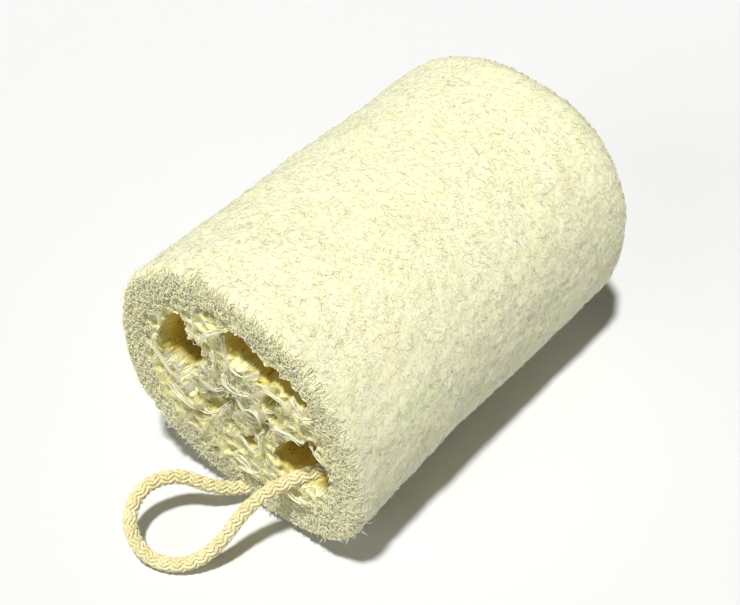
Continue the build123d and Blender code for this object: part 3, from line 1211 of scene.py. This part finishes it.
def spongy_material():
    """The partitions: pale strands on top, and darker olive and amber down in the hollows, painted shade.
    """
    nodes = Nodes("spongy_inner")
    depth = nodes.depth()
    patches = nodes.noise(6.0, 3.0, 0.55)
    fine = nodes.noise(0.7, 3.0, 0.6)
    cream = [(0.35, (0.74, 0.70, 0.35)), (0.55, (0.86, 0.83, 0.50)), (0.7, (0.94, 0.92, 0.68))]
    # the darker olive and amber of the hollows is painted shade
    deep = nodes.ramp(patches, [(0.35, (0.54, 0.45, 0.12)), (0.65, (0.68, 0.62, 0.24))])
    colour = nodes.mix(nodes.grey(depth, 0.1, 0.6), nodes.ramp(patches, cream), deep)
    threads = nodes.ramp(fine, [(0.35, (0.80, 0.76, 0.50)), (0.6, (1.0, 1.0, 0.9))])
    nodes.colour(nodes.mix(0.3, colour, threads, "MULTIPLY"))
    nodes.finish(fine, 0.9, 0.65, 0.25)
    nodes.glow(0.4, 2.0)
    nodes.bump(nodes.noise(0.45, 3.0, 0.6), 0.25)
    return nodes.material


def chamber_material():
    """The chambers' skin: amber, streaked along the fruit and pricked with small pits painted dark as
    shade; pale at the mouth, partly painted light, and darker olive and amber further in, painted shade.
    """
    nodes = Nodes("chamber_amber")
    depth = nodes.depth()
    streaks = nodes.noise(1.0, 3.0, 0.6, (1.0, 0.25, 1.0))
    patches = nodes.noise(7.0, 2.0, 0.5)
    pits = nodes.add("ShaderNodeTexVoronoi")
    pits.inputs["Scale"].default_value = 1.0 / (1.8 * MM)
    nodes.link(nodes.place, pits.inputs["Vector"])
    amber = nodes.ramp(patches, [(0.35, (0.68, 0.47, 0.05)), (0.65, (0.75, 0.58, 0.11))])
    gold = nodes.ramp(streaks, [(0.35, (0.62, 0.43, 0.04)), (0.6, (0.82, 0.67, 0.17))])
    # the pits are dark dots of painted shade, with no relief of their own
    pit_shade = nodes.grey(pits.outputs["Distance"], 0.10, 0.22, 1.0, 0.0)
    pit_shaded_amber = nodes.mix(pit_shade, nodes.mix(0.4, amber, gold), (0.24, 0.15, 0.04))
    # pale lips: partly white membrane, partly painted light
    pale = nodes.ramp(streaks, [(0.35, (0.84, 0.76, 0.36)), (0.6, (0.95, 0.92, 0.66))])
    olive = nodes.ramp(streaks, [(0.35, (0.50, 0.44, 0.12)), (0.6, (0.63, 0.58, 0.22))])
    # olive turning to amber further in: darkening that is painted shade
    walls = nodes.mix(nodes.grey(depth, 0.35, 0.95), olive, pit_shaded_amber)
    nodes.colour(nodes.mix(nodes.grey(depth, 0.1, 0.3), pale, walls))
    nodes.finish(streaks, 0.7, 0.5, 0.3)
    nodes.bump(streaks, 0.35)
    return nodes.material


make_camera()
make_light()
make_stage()
cotton = cotton_material()
make_cord(cotton)

# colours: light, dark, warm and green; then the light that soaks through, and how many mm
THIN = (0.7, 1.0)
THICK = (0.15, 1.2)
# the felt is a little darker and more saturated than the fibres that lie on it: painted shade under and
# between them
felt = felt_material(
    "felt", (0.85, 0.84, 0.60), (0.71, 0.68, 0.38), (0.85, 0.79, 0.50), (0.77, 0.83, 0.49), THICK
)
fibre = felt_material(
    "felt_fibre", (0.90, 0.89, 0.66), (0.80, 0.77, 0.48), (0.89, 0.84, 0.57), (0.82, 0.88, 0.56), THIN
)
curl = felt_material(
    "ring_curl", (0.99, 0.96, 0.58), (0.95, 0.88, 0.38), (0.99, 0.92, 0.48), (0.94, 0.96, 0.50), THIN
)
strand = felt_material(
    "pale_strand", (0.97, 0.95, 0.64), (0.90, 0.84, 0.44), (0.97, 0.92, 0.56), (0.92, 0.93, 0.56), THIN
)
make_mat(felt)
make_septa(spongy_material())
make_linings(chamber_material())
make_felt_fibres(fibre)
make_end_fibres(curl, strand)
make_strands(strand)
